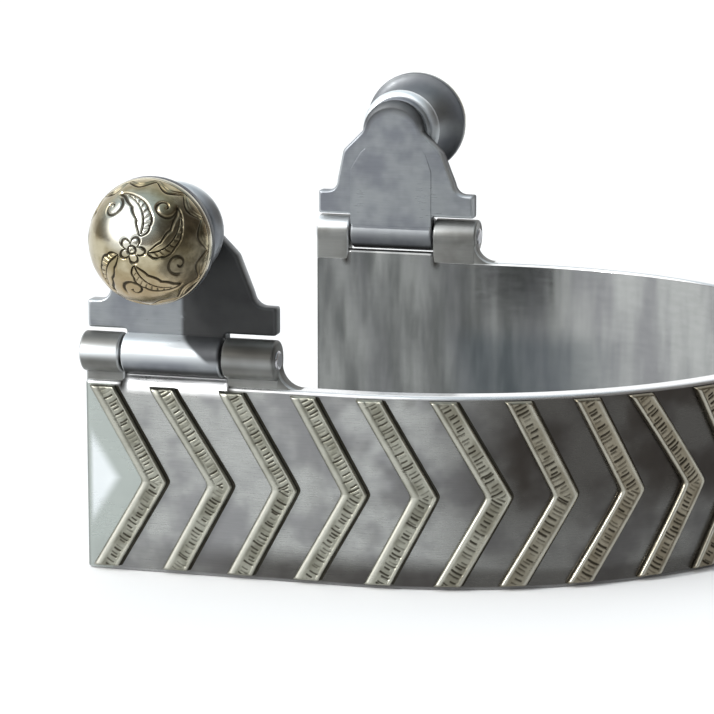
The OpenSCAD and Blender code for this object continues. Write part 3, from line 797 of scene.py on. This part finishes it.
capSet = {"rim": 7.1, "height": 6.4, "base": 9.6, "edge": 0.15, "turns": 520, "rings": 190,
          "depth": 0.2, "lip": 0.12, "line": 0.12, "ringAt": 9.75,
          "scallops": 13, "scallopAt": 8.0, "scallopDeep": 1.2, "centre": 0.45, "petals": 5, "petalAt": 1.5,
          "leafTurns": (-0.15, -1.45, -2.75, 1.05), "leafFrom": 1.75, "leafTo": 7.3, "leafWide": 1.15,
          "leafCurl": 0.75, "veins": 10, "scrollAt": 5.6, "scrollGrow": 0.17, "scrollTurns": 1.3,
          "oxide": 0.6, "oxideTurn": 0.1, "highlightAt": (0.6, 3.2), "highlightWide": 4.6, "warmDown": (1.0, 5.0)}


def capEngraving(c, turn, walk, ball):
    # Cuts on the dome, as a share of the full depth; turn is round the axis, walk the distance from the pole.
    # Border: walk = scallopAt + deep * (1 - |sin(n turn / 2)|). Flower: petals round a small ring.
    # Leaves: half width wide * sin(pi s)^0.75, waved, about a line that curls round by curl * s^1.4,
    # with a vein and side veins. Scrolls: spirals r = grow * angle between the leaves.
    w = c["line"]
    around = ball * np.sin(walk / ball)
    wave = np.abs(np.sin(c["scallops"] * turn / 2 + 0.4))
    border = c["scallopAt"] + c["scallopDeep"] * (1 - wave)
    petal = c["centre"] + (c["petalAt"] - c["centre"]) * np.abs(np.cos(c["petals"] * turn / 2 + 0.3)) ** 0.6
    cuts = [lineCut(walk - border, w * (0.8 + 1.1 * wave)), lineCut(walk - border - 0.55, w * 0.7) * 0.7,
            lineCut(walk - c["ringAt"], w), lineCut(walk - c["centre"], w * 1.1), lineCut(walk, w * 1.2),
            lineCut(walk - petal, w * 1.5) * (walk > c["centre"])]
    s = np.clip((walk - c["leafFrom"]) / (c["leafTo"] - c["leafFrom"]), 0, 1)
    within = (s > 0) & (s < 1)
    half = c["leafWide"] * np.sin(math.pi * s) ** 0.75 * (0.86 + 0.16 * np.abs(np.sin(3.5 * math.pi * s)))
    for k, start in enumerate(c["leafTurns"]):
        middle = start + c["leafCurl"] * s ** 1.4 * (1 + 0.25 * math.cos(1.9 * k))
        side = around * ((turn - middle + math.pi) % (2 * math.pi) - math.pi)
        cuts.append(lineCut(np.abs(side) - half, w * (0.7 + 1.3 * s)) * within)
        cuts.append(lineCut(side, w * 0.8) * within * (s < 0.86))
        vein = (c["veins"] * s - np.abs(side) * 1.3) % 1 - 0.5
        cuts.append(lineCut(vein, 0.16) * 0.55 * within * (np.abs(side) < half * 0.85) * (side < 0))
        p = around * ((turn - start - 1.12 + math.pi) % (2 * math.pi) - math.pi)
        q = walk - c["scrollAt"] - 0.5 * math.cos(1.7 * k)
        for lap in range(2):
            angle = (np.arctan2(q, -p) + 0.9) % (2 * math.pi) + 2 * math.pi * lap
            fade = np.clip((2 * math.pi * c["scrollTurns"] - angle) * 1.5, 0, 1)
            gap = np.hypot(p, q) - c["scrollGrow"] * angle - 0.1
            cuts.append(lineCut(gap, w * (0.6 + 0.16 * angle)) * fade)
    return np.max(np.broadcast_arrays(*cuts), axis=0)


def caps(c):
    ball = (c["rim"] ** 2 + c["height"] ** 2) / (2 * c["height"])
    middle = c["height"] - ball
    lowest = math.asin(-middle / ball)
    rise = np.linspace(lowest, math.radians(89.3), c["rings"])
    turn = fullTurn(c["turns"])
    cut = capEngraving(c, turn[None], ball * (math.pi / 2 - rise)[:, None], ball)
    reach = ball - c["depth"] * cut
    out = c["base"] + middle + reach * np.sin(rise)[:, None]
    dome = onButton(reach * np.cos(rise)[:, None], out, turn[None])
    e = c["edge"]
    rim = c["rim"]
    lip = np.array([[1.0, 0.02], [rim - e - 0.1, 0.02], [rim - e * 0.6, 0.04], [rim - 0.02, 0.1]])
    under = onButton(lip[:, :1], c["base"] + lip[:, 1:], turn[None])
    points = np.concatenate([under, dome[2:]])
    walk = ball * (math.pi / 2 - rise)[2:, None]
    # A painted dark reflection on the heel side of the dome, between the flower and the border, laid in with
    # the oxide tint
    left = blend(np.cos(turn - c["oxideTurn"]), 0.35, 0.85)[None]
    left = left * blend(walk, 2.4, 4.0) * blend(walk, 9.6, 8.8)
    # Along the rim it is rubbed to silver, above the flower a painted highlight makes it silver too, and
    # lower down it carries a painted warm reflection
    rubbedAndHighlight = np.clip(1 - (rise[2:, None] - lowest) / c["lip"], 0, 1)
    highlightAway = np.hypot(walk * np.cos(turn) + c["highlightAt"][0], walk * np.sin(turn) - c["highlightAt"][1])
    rubbedAndHighlight = np.maximum(rubbedAndHighlight, blend(highlightAway, c["highlightWide"], 0.4 * c["highlightWide"]))
    plain = np.zeros((len(lip), turn.size))
    fields = {"cut": np.concatenate([plain, np.maximum(cut[2:], c["oxide"] * left)]),
              "wearAndHighlight": np.concatenate([plain + 1, rubbedAndHighlight]),
              "warm": np.concatenate([plain, blend(-walk * np.sin(turn), *c["warmDown"])])}
    for side in sides:
        shape = closedTube(onSide(points, side))
        addPiece("cap_dome_" + side, shape, "hanger_" + side, capNickel,
                 "button_cap_" + side, fields)


caps(capSet)
print("buttons made")


# Chevrons: a strip bent to a V, on a grid of height up the band and distance across the strip
def onFace(along, up, rise):
    # A point on the band's outer face, rise above it; along is counted from the left tip on that face
    b = bandSet
    reach = b["radius"] + b["thickness"] / 2
    rise = rise - easedEdge(along, up)
    turn = np.clip((along - b["arm"]) / reach, 0, None)
    x = np.where(along < b["arm"], along - b["arm"], (reach + rise) * np.sin(turn))
    y = np.where(along < b["arm"], -(reach + rise), -(reach + rise) * np.cos(turn))
    return np.stack([x, y, up + 0 * along], -1)


def tickCuts(c, walk, bow, draw):
    # A row of cuts across the channel between the rails: walk = n * tick + bow * (across from the middle)^2,
    # each a little out of place, longer or shorter and deeper or shallower than the next
    count = int(c["longest"] / c["tick"]) + 4
    wander = draw.uniform(-c["wander"], c["wander"], 2 * count + 1)
    deep = draw.uniform(*c["deep"], 2 * count + 1)
    reach = draw.uniform(*c["reach"], 2 * count + 1)
    shift = draw.uniform(-c["shift"], c["shift"], 2 * count + 1)
    bent = walk - c["bow"] * bow ** 2
    n = np.clip(np.round(bent / c["tick"]).astype(int), -count, count) + count
    gap = bent - (n - count) * c["tick"] - wander[n]
    fade = np.clip((reach[n] - np.abs(bow - shift[n])) * 4, 0, 1)
    return lineCut(gap, c["tickWidth"]) * fade * deep[n]


def stripSection(c, k, span):
    # Distance across and rise, from the sunk foot up the wall, over the rounded rail, along the channel,
    # over the other rail and down to a thin skirt on the heel side, dark with the strip's painted shadow. The
    # rails change along the arm.
    turned = blend(k, *c["railTurn"])
    left, right = [a + turned * (b - a) for a, b in zip(*c["rails"])]
    step = np.array([0.0, 0.0, 0.06, 0.2, 0.4, 0.64, 0.84, 1.0])
    drop = [c["rise"] + c["sunk"], c["rise"] - c["wall"], 0.24, 0.1, 0.02, 0.0, 0.02, 0.05]
    railRise = c["rise"] - np.array(drop)
    field = np.linspace(left + 0.06, span - right - 0.06, c["columns"])
    floor = np.full(c["columns"], c["rise"] - c["channel"])
    skirt = span + c["skirt"] * np.array([0, 0.5, 0.95, 1])
    across = np.r_[left * step, field, span - right * step[:0:-1], skirt]
    rise = np.r_[railRise, floor, railRise[:0:-1], 0.06, 0.05, 0.03, -c["sunk"]]
    paintedDark = np.r_[np.zeros(across.size - 5), 0.6, 1, 1, 1, 1]
    onRail = np.minimum(np.abs(across / left - 0.5), np.abs((span - across) / right - 0.5))
    bow = (2 * across - left - span + right) / (span - left - right)
    return across, rise, bow, paintedDark, np.clip(1 - onRail / 0.45, 0, 1)


def chevrons(c):
    draw = np.random.default_rng(c["seed"])
    ends = np.array([0.0, 0.0, 0.06, 0.16, 0.3])
    lift = np.array([0.0, 0.5, 0.78, 0.95, 1.0])
    inner = np.linspace(c["lowZ"] + 0.36, c["highZ"] - 0.36, c["rows"])
    up = np.r_[c["lowZ"] + ends, inner, (c["highZ"] - ends)[::-1]]
    lift = np.r_[lift, np.ones(c["rows"]), lift[::-1]][:, None]
    below = up < c["pointZ"]
    # Distance above or below the point, which is a little blunt
    away = np.hypot(up - c["pointZ"], c["blunt"]) - c["blunt"]
    span = c["width"] * math.cos(math.atan(c["depth"] / (c["pointZ"] - c["lowZ"])))
    for k, (atPoint, atTop, atFoot) in enumerate(c["laid"]):
        across, shape, bow, paintedDark, rubbedAndHighlight = stripSection(c, k, span)
        share = across / span
        slope = np.where(below, (c["depth"] + atPoint - atFoot) / (c["pointZ"] - c["lowZ"]),
                         (c["depth"] + atPoint - atTop) / (c["highZ"] - c["pointZ"]))
        tilt = np.arctan(slope)[:, None]
        point = c["first"] + c["pitch"] * k + atPoint
        along = (point - slope * away)[:, None] - c["width"] * (1 - share)[None]
        walk = (up - c["pointZ"])[:, None] / np.cos(tilt)
        walk = walk + np.where(below, 1, -1)[:, None] * (share - 0.5)[None] * c["width"] * np.sin(tilt)
        # The rails are rubbed and carry a painted highlight, stronger on the left rail of the lower legs,
        # which faces the light
        rubAndHighlight = rubbedAndHighlight[None] * (1 + 0.8 * below[:, None] * (share < 0.5)[None]) * (lift >= 1)
        warm = np.full(along.shape, blend(k, *c["warmFrom"]))
        for side in sides:
            name = "chevron_%s_%02d" % (side, k + 1)
            cut = tickCuts(c, walk, bow[None], draw) * (lift >= 1)
            rise = -c["sunk"] + (shape[None] + c["sunk"]) * lift - c["tickCut"] * cut
            points = onFace(along, up[:, None], rise)
            fields = {"cut": np.maximum(c["tickDark"] * cut, paintedDark[None]), "wearAndHighlight": rubAndHighlight, "warm": warm}
            strip = closedTube(onSide(points, side))
            addPiece(name + "_strip", strip, "band", chevronNickel, name, fields)


chevrons(chevronSet)
print("chevrons made")

# Shank: a bar that sweeps up from the band, and two cheeks with round eyes for the rowel's pin
shankSet = {"start": 46.4, "face": 47.25, "length": 52.0, "rootZ": 11.1, "axisUp": 22.0, "rootHalf": 8.0,
            "endHalf": 4.5, "rootWide": 6.5, "forkWide": 4.6, "rootRun": 1.0, "hollow": 14.0,
            "slot": 1.8, "slotStart": 80.75, "eye": 4.8, "cheekFrom": 72.0, "fanBack": 3.75, "fanDown": 6.4,
            "edge": 1.1, "slotEdge": 0.3, "proud": 0.02, "rows": 90, "quarter": 8}


def shankSide(s, x):
    # Height of the middle, root + (axis - root) t^2, and half the height, end + (root - end)(1 - t)^1.5
    t = np.clip((x - s["face"]) / s["length"], 0, 1)
    middle = s["rootZ"] + (s["axisUp"] - s["rootZ"]) * t ** 2
    return middle, s["endHalf"] + (s["rootHalf"] - s["endHalf"]) * (1 - t) ** 1.5


def shankBar(s):
    # A rectangle with round corners along the sweep; the root narrows by an arc of radius hollow
    x = np.r_[np.linspace(s["start"], s["slotStart"] - 0.02, s["rows"]), s["slotStart"]]
    middle, half = shankSide(s, x)
    step = s["rootWide"] - s["forkWide"]
    reach = math.sqrt(s["hollow"] ** 2 - (s["hollow"] - step) ** 2)
    away = np.clip(s["face"] + s["rootRun"] + reach - x, 0, reach)
    wide = s["forkWide"] + s["hollow"] - np.sqrt(s["hollow"] ** 2 - away ** 2) + s["proud"]
    half = half + s["proud"]
    e = s["edge"]
    turn = np.radians(np.concatenate([np.linspace(q, q + 90, s["quarter"]) for q in (-90, 0, 90, 180)]))
    sideways = np.repeat([1, 1, -1, -1], s["quarter"])
    upwards = np.repeat([-1, 1, 1, -1], s["quarter"])
    y = sideways * (wide - e)[:, None] + e * np.cos(turn)
    z = middle[:, None] + upwards * (half - e)[:, None] + e * np.sin(turn)
    points = np.stack([x[:, None] + 0 * y, y, z], -1)
    wearAndHighlight = np.repeat((np.abs(np.sin(2 * turn)) * 0.5)[None], len(x), 0)
    addPiece("shank_bar", closedTube(points), "band", hangerSteel, "shank", {"wearAndHighlight": wearAndHighlight})


def shankCheeks(s):
    axisX = s["face"] + s["length"]
    # Side view: the bar's outline as far as the eye, then the eye's circle where it is the larger
    rounded = axisX - s["eye"] * np.cos(np.linspace(0, math.pi, 90))
    x = np.r_[np.linspace(s["cheekFrom"], axisX - s["eye"], 60), rounded]
    middle, half = shankSide(s, x)
    bar = np.where(x <= axisX, half, 0)
    eye = np.sqrt(np.clip(s["eye"] ** 2 - (x - axisX) ** 2, 0, None))
    upper = np.maximum(middle + bar, np.where(eye > 0, s["axisUp"] + eye, 0))
    lower = np.minimum(middle - bar, s["axisUp"] - eye)
    outline = np.vstack([np.stack([x, lower], -1), np.stack([x, upper], -1)[-2::-1]])
    outer = (s["edge"], s["edge"], 1)
    inner = (s["slotEdge"], s["slotEdge"], 1)
    across = (-s["forkWide"], -s["slot"])
    prism, wear = roundedPrism(outline, 300, 0.05, across, (outer, inner))
    points = prism[:, :, [0, 2, 1]]
    # The triangles of each face meet at a point inside the bar
    fan = np.array([[s["slotStart"] - s["fanBack"], y, s["axisUp"] - s["fanDown"]] for y in across])
    for side in sides:
        shape = closedTube(onSide(points, side), *onSide(fan, side))
        addPiece("shank_cheek_" + side, shape, "band", hangerSteel, None, {"wearAndHighlight": 0.5 * wear})


shankBar(shankSet)
shankCheeks(shankSet)

# Rowel: a star that thins from the hub to its points, with a bore for the pin
rowelSet = {"points": 10, "tip": 18.0, "cut": 17.0, "root": 9.0, "hub": 4.8, "bore": 2.08, "hubHalf": 1.4,
            "tipHalf": 0.6, "edge": 0.25, "soft": 0.14, "count": 600, "bevel": 0.15, "steps": 5,
            "rings": (0.2, 0.45, 0.7, 0.9)}


def starOutline(r):
    a = math.pi / r["points"]
    corner = np.array([r["tip"], 0.0])
    notch = r["root"] * np.array([math.cos(a), math.sin(a)])
    # Where the side of a point comes to the radius at which it is cut, |corner + t (notch - corner)| = cut
    d = notch - corner
    m = corner @ d
    t = (-m - math.sqrt(m * m - (d @ d) * (corner @ corner - r["cut"] ** 2))) / (d @ d)
    side = corner + t * d
    one = np.array([side * [1, -1], side, notch])
    angles = 2 * a * np.arange(r["points"])
    turns = [np.array([[math.cos(q), math.sin(q)], [-math.sin(q), math.cos(q)]]) for q in angles]
    return np.vstack([one @ q for q in turns])


def rowelStar(r, s):
    e = (r["edge"], r["edge"] * 0.9, 1)
    ends = (-r["tipHalf"], r["tipHalf"])
    rim, wear = roundedPrism(starOutline(r), r["count"], r["soft"], ends, (e, e), r["steps"])
    # Rings from the hub's circle out to the star, on both faces, and the bore between them
    star = rim[0, :, :2]
    way = star / np.linalg.norm(star, axis=1)[:, None]
    rings = [way * q for q in (r["bore"], r["bore"] + r["bevel"], r["hub"])]
    rings = np.stack(rings + [way * r["hub"] * (1 - f) + star * f for f in r["rings"]])
    flat = np.concatenate([rings, rim[:, :, :2], rings[::-1]])
    face = np.full(rings.shape[:2], r["tipHalf"])
    level = np.concatenate([-face, rim[:, :, 2], face])
    share = np.clip((np.linalg.norm(flat, axis=2) - r["hub"]) / (r["cut"] - r["hub"]), 0, 1)
    level = level / r["tipHalf"] * (r["hubHalf"] + (r["tipHalf"] - r["hubHalf"]) * share)
    level[0] += r["bevel"]
    level[-1] -= r["bevel"]
    points = np.stack([s["face"] + s["length"] + flat[:, :, 0], level, s["axisUp"] + flat[:, :, 1]], -1)
    pad = ((len(rings), len(rings)), (0, 0))
    none = np.zeros((0, 3), int)
    shape = (points.reshape(-1, 3), gridFaces(len(points), r["count"], True), none)
    fields = {"wearAndHighlight": 0.8 * np.pad(wear, pad)}
    addPiece("rowel_star", shape, "rowel", rowelSteel, "rowel", fields)


rowelStar(rowelSet, shankSet)

# Pins: the rowel's with domed rivet heads, the hinges' with rounded ends
pinSet = {"radius": 2.0, "head": 3.0, "headUp": 0.9, "count": 64,
          "hinge": 1.1, "hingeEnds": (-31.25, -7.75), "hingeCount": 48, "edge": 0.25}


def rowelPin(n, s):
    a = np.radians(np.linspace(0, 88, 14))
    w = s["forkWide"]
    head = np.stack([n["head"] * np.cos(a), w + n["headUp"] * np.sin(a)], -1)
    wire = [[n["radius"], 0.5], [n["radius"], w - 0.05], [n["head"] - 0.15, w - 0.02]]
    half = np.vstack([wire, head])
    profile = np.vstack([half[::-1] * [1, -1], half])
    turn = fullTurn(n["count"])[None]
    x = s["face"] + s["length"] + profile[:, :1] * np.cos(turn)
    z = s["axisUp"] + profile[:, :1] * np.sin(turn)
    points = np.stack([x, profile[:, 1:] + 0 * turn, z], -1)
    addPiece("rowel_rivet", closedTube(points), "band", pinSteel, "rowel_pin")


def hingePins(n):
    e = (n["edge"] * 1.4, n["edge"], 1)
    count = n["hingeCount"]
    ring = circleLoop((-axisY, axisZ), n["hinge"], count)
    prism, wear = roundedPrism(ring, count, 0.01, n["hingeEnds"], (e, e))
    for side in sides:
        shape = closedTube(onSide(prism[:, :, [2, 0, 1]], side))
        addPiece("hinge_wire_" + side, shape, "band", pinSteel, "hinge_pin_" + side,
                 {"wearAndHighlight": 0.5 * wear})


rowelPin(pinSet, shankSet)
hingePins(pinSet)
print("shank and rowel made")

# Floor, studio light and sky
stageSet = {"radius": 6.0, "down": 5e-5, "floorTint": (0.9, 0.9, 0.9), "lift": 0.1,
            "keyWay": (-0.60, -0.66, 0.45), "keyWidth": 5.0, "keyPower": 1.8,
            "frontTint": (0.3, 0.29, 0.28), "overheadTint": (0.56, 0.68, 0.76), "behindTint": (1.2, 1.2, 1.2),
            "rightTint": (0.2, 0.17, 0.14), "glowTint": (2.4, 2.4, 2.4),
            "glowWay": (-0.54, -0.60, 0.59), "glowSpan": (0.72, 0.89)}


def makeFloor(s):
    r = s["radius"]
    z = -s["down"]
    mesh = bpy.data.meshes.new("floor")
    mesh.from_pydata([(-r, -r, z), (r, -r, z), (r, r, z), (-r, r, z)], [], [(0, 1, 2, 3)])
    floor = bpy.data.objects.new("floor", mesh)
    scene.collection.objects.link(floor)
    material = bpy.data.materials.new("paleFloor")
    material.use_nodes = True
    tree = material.node_tree
    tree.nodes.clear()
    path = addNode(tree, "ShaderNodeLightPath").outputs
    seen = Value(tree, path["Is Camera Ray"]).most(path["Is Glossy Ray"]).most(path["Is Transmission Ray"])
    matt = addNode(tree, "ShaderNodeBsdfDiffuse", {"Color": (*s["floorTint"], 1)}).outputs[0]
    white = addNode(tree, "ShaderNodeEmission", {"Color": (1, 1, 1, 1), "Strength": 1.0}).outputs[0]
    both = addNode(tree, "ShaderNodeMixShader", {0: seen * s["lift"], 1: matt, 2: white})
    addNode(tree, "ShaderNodeOutputMaterial", {0: both.outputs[0]})
    mesh.materials.append(material)


def makeKey(s):
    data = bpy.data.lights.new("keyLight", "SUN")
    data.angle = math.radians(s["keyWidth"])
    data.energy = s["keyPower"]
    lamp = bpy.data.objects.new("keyLight", data)
    lamp.rotation_euler = Vector(s["keyWay"]).to_track_quat("Z", "Y").to_euler()
    scene.collection.objects.link(lamp)


def makeSky(s):
    # Bright behind, dim in front and to the right, blue overhead, with a soft glow round the key light
    world = bpy.data.worlds.new("studioSky")
    scene.world = world
    world.use_nodes = True
    tree = world.node_tree
    tree.nodes.clear()
    place = addNode(tree, "ShaderNodeTexCoord").outputs["Generated"]
    x, y, z = [Value(tree, axis) for axis in addNode(tree, "ShaderNodeSeparateXYZ", {0: place}).outputs]
    ways = {0: place, 1: Vector(s["glowWay"]).normalized()}
    near = Value(tree, addNode(tree, "ShaderNodeVectorMath", ways, operation="DOT_PRODUCT").outputs["Value"])
    shares = {"overhead": z.ramp(0.05, 0.8), "behind": y.ramp(0.0, 0.85), "right": x.ramp(0.15, 0.8),
              "glow": near.ramp(*s["glowSpan"])}
    tone = (*s["frontTint"], 1)
    for name, share in shares.items():
        tone = mixColours(tree, share, tone, (*s[name + "Tint"], 1))
    light = addNode(tree, "ShaderNodeBackground", {"Color": tone, "Strength": 1.0})
    addNode(tree, "ShaderNodeOutputWorld", {0: light.outputs[0]})


makeFloor(stageSet)
makeKey(stageSet)
makeSky(stageSet)
scene.view_settings.view_transform = "Standard"
print("stage made")
